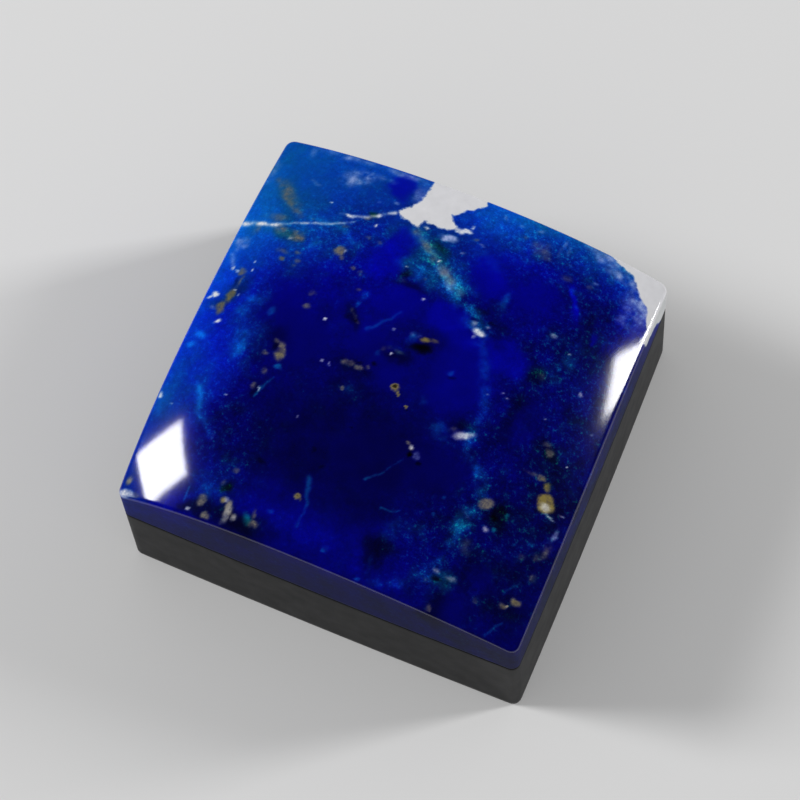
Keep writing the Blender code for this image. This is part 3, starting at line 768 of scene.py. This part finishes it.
# Haze, smoke, gold and white lie in the blue, broken up by the same grains
BREAKING_UP, DUST_SWING = 0.28, 0.10
broken = math(stone, "MULTIPLY_ADD", both, BREAKING_UP, 1.0)
dust = math(stone, "MULTIPLY_ADD", fine, DUST_SWING, 1.0)
smoke_colour = times(stone, SMOKE_BROWN, rgb(stone, dust, dust, dust))
tints = {"haze": HAZE_WHITE, "smoke": smoke_colour, "gold": GOLD_BROWN, "white": SPOT_WHITE}
for name, tint in tints.items():
    colour = mix(stone, math(stone, "MULTIPLY", field(stone, name), broken), colour, tint)
# Calcite ends at a grainy edge, and is a little cloudy
CALCITE_EDGE, CALCITE_EDGE_GRAIN = 0.05, 0.035
CLOUD_SIZE, CLOUD_DETAIL, CLOUD_SWING, CLOUD_LEAST = 0.5, 3, 0.10, 0.95
edge = math(stone, "MULTIPLY_ADD", coarse, CALCITE_EDGE_GRAIN, field(stone, "calcite"))
cover = add(
    stone, "ShaderNodeMapRange", Value=edge, From_Min=-CALCITE_EDGE, From_Max=CALCITE_EDGE).outputs[0]
cloudy = math(stone, "MULTIPLY_ADD", noise(stone, CLOUD_SIZE, CLOUD_DETAIL), CLOUD_SWING, CLOUD_LEAST)
colour = mix(stone, cover, colour, times(stone, CALCITE_WHITE, rgb(stone, cloudy, cloudy, cloudy)))
colour = mix(stone, field(stone, "pyrite"), colour, PYRITE_YELLOW)
colour = mix(stone, field(stone, "dark"), colour, BLACK)
# All of this is mixed as the eye sees it, and is turned to the light that the stone gives back only here
SCREEN_GAMMA = 2.2
colour = add(stone, "ShaderNodeGamma", Color=colour, Gamma=SCREEN_GAMMA).outputs[0]
stone.links.new(times(stone, colour, given["Depth of colour"]), result["Color"])
stained = math(stone, "ADD", field(stone, "smoke"), field(stone, "gold"), clamp=True)
stone.links.new(stained, result["Softness"])
stone.links.new(field(stone, "pyrite"), result["Metal"])
stone.links.new(both, result["Height"])

LAPIS_IOR = 1.5


def stone_material(name, painted_shade, graininess, gloss, softer, specular, bump):
    """Lapis with one finish: a painted shade that its colour is multiplied by, its roughness where hard, how
    much rougher it is where soft, how strongly it mirrors, and the height of its grains in millimetres."""
    material = bpy.data.materials.new(name)
    material.use_nodes = True
    tree = material.node_tree
    shader = tree.nodes["Principled BSDF"]
    group = add(tree, "ShaderNodeGroup", {"node_tree": stone})
    group.inputs["Depth of colour"].default_value = painted_shade
    group.inputs["Graininess"].default_value = graininess
    roughness = math(tree, "MULTIPLY_ADD", group.outputs["Softness"], softer, gloss)
    relief = add(tree, "ShaderNodeBump", Height=group.outputs["Height"], Distance=bump * MM, Strength=1.0)
    tree.links.new(group.outputs["Color"], shader.inputs["Base Color"])
    tree.links.new(roughness, shader.inputs["Roughness"])
    tree.links.new(group.outputs["Metal"], shader.inputs["Metallic"])
    tree.links.new(relief.outputs[0], shader.inputs["Normal"])
    shader.inputs["IOR"].default_value = LAPIS_IOR
    shader.inputs["Specular IOR Level"].default_value = specular
    return material


tile.data.materials.append(stone_material(
    "lapis_polished", painted_shade=(1, 1, 1, 1), graininess=1.0, gloss=0.085, softer=0.12, specular=0.5,
    bump=0.00012))
# The walls' copy has its colour multiplied by about 0.8 as painted shade
tile.data.materials.append(stone_material(
    "lapis_ground_shaded", painted_shade=(0.8, 0.82, 0.80, 1), graininess=1.0, gloss=0.5, softer=0.1,
    specular=0.04, bump=0.0008))
face_row = np.arange(len(wall_faces)) // around
finish = np.concatenate([np.zeros(len(top_faces)), face_row >= RIM_ROWS, np.ones(around)]).astype(np.int32)
tile.data.polygons.foreach_set("material_index", finish)
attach(tile, "root")
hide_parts("lapis_tile")

# The block. A black plastic block with the stone's own plan, milled to the same leaning walls. Its upper edge
# is rounded, so a thin dark groove runs round it under the stone, and its foot has a small chamfer.
BLOCK_SIDES = 120
BLOCK_EDGE = 0.07
FOOT_CHAMFER = 0.15
BLOCK_WALL_ROWS = 22
EDGE_STEPS = 4
BLOCK_BLACK = (0.0050, 0.0052, 0.0058, 1)
MILLED_PALER = 2.2
MILL_MARK, MILL_DETAIL, MILL_ROUGHNESS, MILL_STRETCH, MILL_RELIEF = 0.11, 2, 0.5, 0.05, 0.0012
SATIN_SIZE, SATIN_DETAIL, SATIN_SWING, SATIN_LEAST = 0.9, 3, 0.16, 0.34
BLOCK_SPECULAR = 0.07

side = np.linspace(-1, 1, BLOCK_SIDES + 1)
side_s, side_t = np.meshgrid(side, side)
block_s, block_t = border(side_s), border(side_t)
block_x, block_y = belly(*plan(block_s, block_t))


def block_rows():
    """The block's outline from its top, over the quarter-round edge, down the wall, in at the chamfer and
    back under it, as rows of (share of the plan, height, how far drawn in)."""
    quarter = np.radians(np.linspace(0, 90, EDGE_STEPS + 1))
    rows = [(share, 0.0, BLOCK_EDGE) for share in (0.5, 1.0)]
    rows += [(1.0, -BLOCK_EDGE * (1 - np.cos(q)), BLOCK_EDGE * (1 - np.sin(q))) for q in quarter[1:]]
    wall = np.linspace(-BLOCK_EDGE, FOOT_CHAMFER - MEETING_PLANE, BLOCK_WALL_ROWS + 1)
    rows += [(1.0, height, 0.0) for height in wall[1:]]
    rows += [(1.0, -MEETING_PLANE, FOOT_CHAMFER), (0.5, -MEETING_PLANE, FOOT_CHAMFER)]
    return rows


block_points = []
for share, height, drawn_in in block_rows():
    scale_x, scale_y = (share * (1 - drawn_in / (size / 2)) for size in (WIDTH, DEPTH))
    block_points.append(lean(block_x * scale_x, block_y * scale_y, np.full(block_x.size, height)))
block_points = np.array(block_points)
block_number = np.arange(block_points.shape[0] * block_x.size).reshape(-1, block_x.size)
block_closed = np.concatenate([block_number, block_number[:, :1]], 1)
top_middle, low_middle = block_number.size, block_number.size + 1
caps = np.concatenate([
    np.stack([block_closed[0, :-1], block_closed[0, 1:], np.full(block_x.size, top_middle)], -1),
    np.stack([block_closed[-1, 1:], block_closed[-1, :-1], np.full(block_x.size, low_middle)], -1),
])
block = new_piece(
    "black_block", np.concatenate([block_points.reshape(-1, 3), [[0, 0, MEETING_PLANE], [0, 0, 0]]]),
    grid_faces(block_closed)[:, ::-1], caps)

block_material = bpy.data.materials.new("block_black")
block_material.use_nodes = True
tree = block_material.node_tree
shader = tree.nodes["Principled BSDF"]
milled = noise(tree, MILL_MARK, MILL_DETAIL, MILL_ROUGHNESS, stretch=(1, 1, MILL_STRETCH))
satin = math(tree, "MULTIPLY_ADD", noise(tree, SATIN_SIZE, SATIN_DETAIL), SATIN_SWING, SATIN_LEAST)
paler = tuple(MILLED_PALER * c for c in BLOCK_BLACK[:3]) + (1,)
tree.links.new(mix(tree, milled, BLOCK_BLACK, paler), shader.inputs["Base Color"])
tree.links.new(satin, shader.inputs["Roughness"])
relief = add(tree, "ShaderNodeBump", Height=milled, Distance=MILL_RELIEF * MM, Strength=1.0)
tree.links.new(relief.outputs[0], shader.inputs["Normal"])
shader.inputs["Specular IOR Level"].default_value = BLOCK_SPECULAR
block.data.materials.append(block_material)
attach(block, "root")
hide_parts("base_block")

# The floor. A plain pale sheet that the block stands on, with nothing else in sight.
FLOOR_HALF = 1500.0
FLOOR_PALE = (0.72, 0.72, 0.72, 1)
FLOOR_ROUGHNESS, FLOOR_SPECULAR = 0.9, 0.1

floor_points = np.array([[x, y, 0.0] for x, y in ((-1, -1), (1, -1), (1, 1), (-1, 1))]) * FLOOR_HALF
floor = new_piece("floor", floor_points, np.array([[0, 1, 2, 3]]), np.zeros((0, 3), int))
floor_material = bpy.data.materials.new("floor_pale")
floor_material.use_nodes = True
floor_shader = floor_material.node_tree.nodes["Principled BSDF"]
floor_shader.inputs["Base Color"].default_value = FLOOR_PALE
floor_shader.inputs["Roughness"].default_value = FLOOR_ROUGHNESS
floor_shader.inputs["Specular IOR Level"].default_value = FLOOR_SPECULAR
floor.data.materials.append(floor_material)

# The light. Two soft windows low on the left and at the right behind, whose mirror images are the two bright
# shapes on the dome. Between them the room is dark for reflections, and gives a soft even light to all else.
LIGHT_AWAY = 400.0
LIGHT_AIM = (0.0, 0.0, 9.1)
# Each window's azimuth, elevation, roll, width and height in degrees, seen from the stone, and its radiance
WINDOWS = (
    ("window_left", -76.4, 34.5, -67.0, 18.3, 13.5, 27.0),
    ("window_right_back", 125.5, 24.8, 5.0, 8.3, 25.1, 27.0),
)


def unit(v):
    """A vector over its own length."""
    return np.array(v) / np.linalg.norm(v)


def facing(azimuth, elevation, roll):
    """Right, up and backward of something at an azimuth and elevation that faces the middle: right is level
    and square to backward until the roll turns it about backward."""
    az, el, turn = np.radians([azimuth, elevation, roll])
    backward = np.array([np.sin(az) * np.cos(el), -np.cos(az) * np.cos(el), np.sin(el)])
    level = unit(np.cross([0, 0, 1], backward))
    upright = np.cross(backward, level)
    right = np.cos(turn) * level + np.sin(turn) * upright
    return right, np.cross(backward, right), backward


def place(thing, aim, away, azimuth, elevation, roll):
    """Puts a light or camera at a distance in millimetres from the place that it looks at."""
    right, up, backward = facing(azimuth, elevation, roll)
    matrix = np.eye(4)
    matrix[:3, :3] = np.stack([right, up, backward], -1)
    matrix[:3, 3] = (np.array(aim) + away * backward) * MM
    thing.matrix_world = Matrix(matrix.tolist())


for name, azimuth, elevation, roll, wide, high, radiance in WINDOWS:
    data = bpy.data.lights.new(name, "AREA")
    data.shape = "RECTANGLE"
    data.size, data.size_y = 2 * LIGHT_AWAY * MM * np.tan(np.radians([wide, high]) / 2)
    data.energy = radiance * np.pi * data.size * data.size_y
    light = bpy.data.objects.new(name, data)
    light.visible_camera = False
    bpy.context.scene.collection.objects.link(light)
    place(light, LIGHT_AIM, LIGHT_AWAY, azimuth, elevation, roll)

ROOM_SEEN, ROOM_LIGHT, ROOM_MIRRORED = 0.72, 0.34, 0.02
world = bpy.data.worlds.new("room")
bpy.context.scene.world = world
world.use_nodes = True
tree = world.node_tree
path = add(tree, "ShaderNodeLightPath").outputs
lit = math(tree, "MULTIPLY_ADD", path["Is Glossy Ray"], ROOM_MIRRORED - ROOM_LIGHT, ROOM_LIGHT)
seen = math(tree, "MULTIPLY_ADD", path["Is Camera Ray"], ROOM_SEEN - ROOM_LIGHT, lit)
tree.links.new(seen, tree.nodes["Background"].inputs["Strength"])
tree.nodes["Background"].inputs["Color"].default_value = (1, 1, 1, 1)

# The camera, close over the stone and a little to the right of its front, with a long lens.
CAMERA_AIM = (-0.079, 0.284, 5.1)
CAMERA_AWAY = 82.84
CAMERA_AZIMUTH, CAMERA_ELEVATION, CAMERA_ROLL = 28.976, 68.284, -6.382
LENS, SENSOR = 86.41, 36.0
NEAREST_SEEN = 1.0

camera_data = bpy.data.cameras.new("camera")
camera_data.lens = LENS
camera_data.sensor_width = SENSOR
camera_data.clip_start = NEAREST_SEEN * MM
camera = bpy.data.objects.new("camera", camera_data)
bpy.context.scene.collection.objects.link(camera)
place(camera, CAMERA_AIM, CAMERA_AWAY, CAMERA_AZIMUTH, CAMERA_ELEVATION, CAMERA_ROLL)
bpy.context.scene.camera = camera
bpy.context.scene.view_settings.view_transform = "Standard"

bpy.context.view_layer.update()
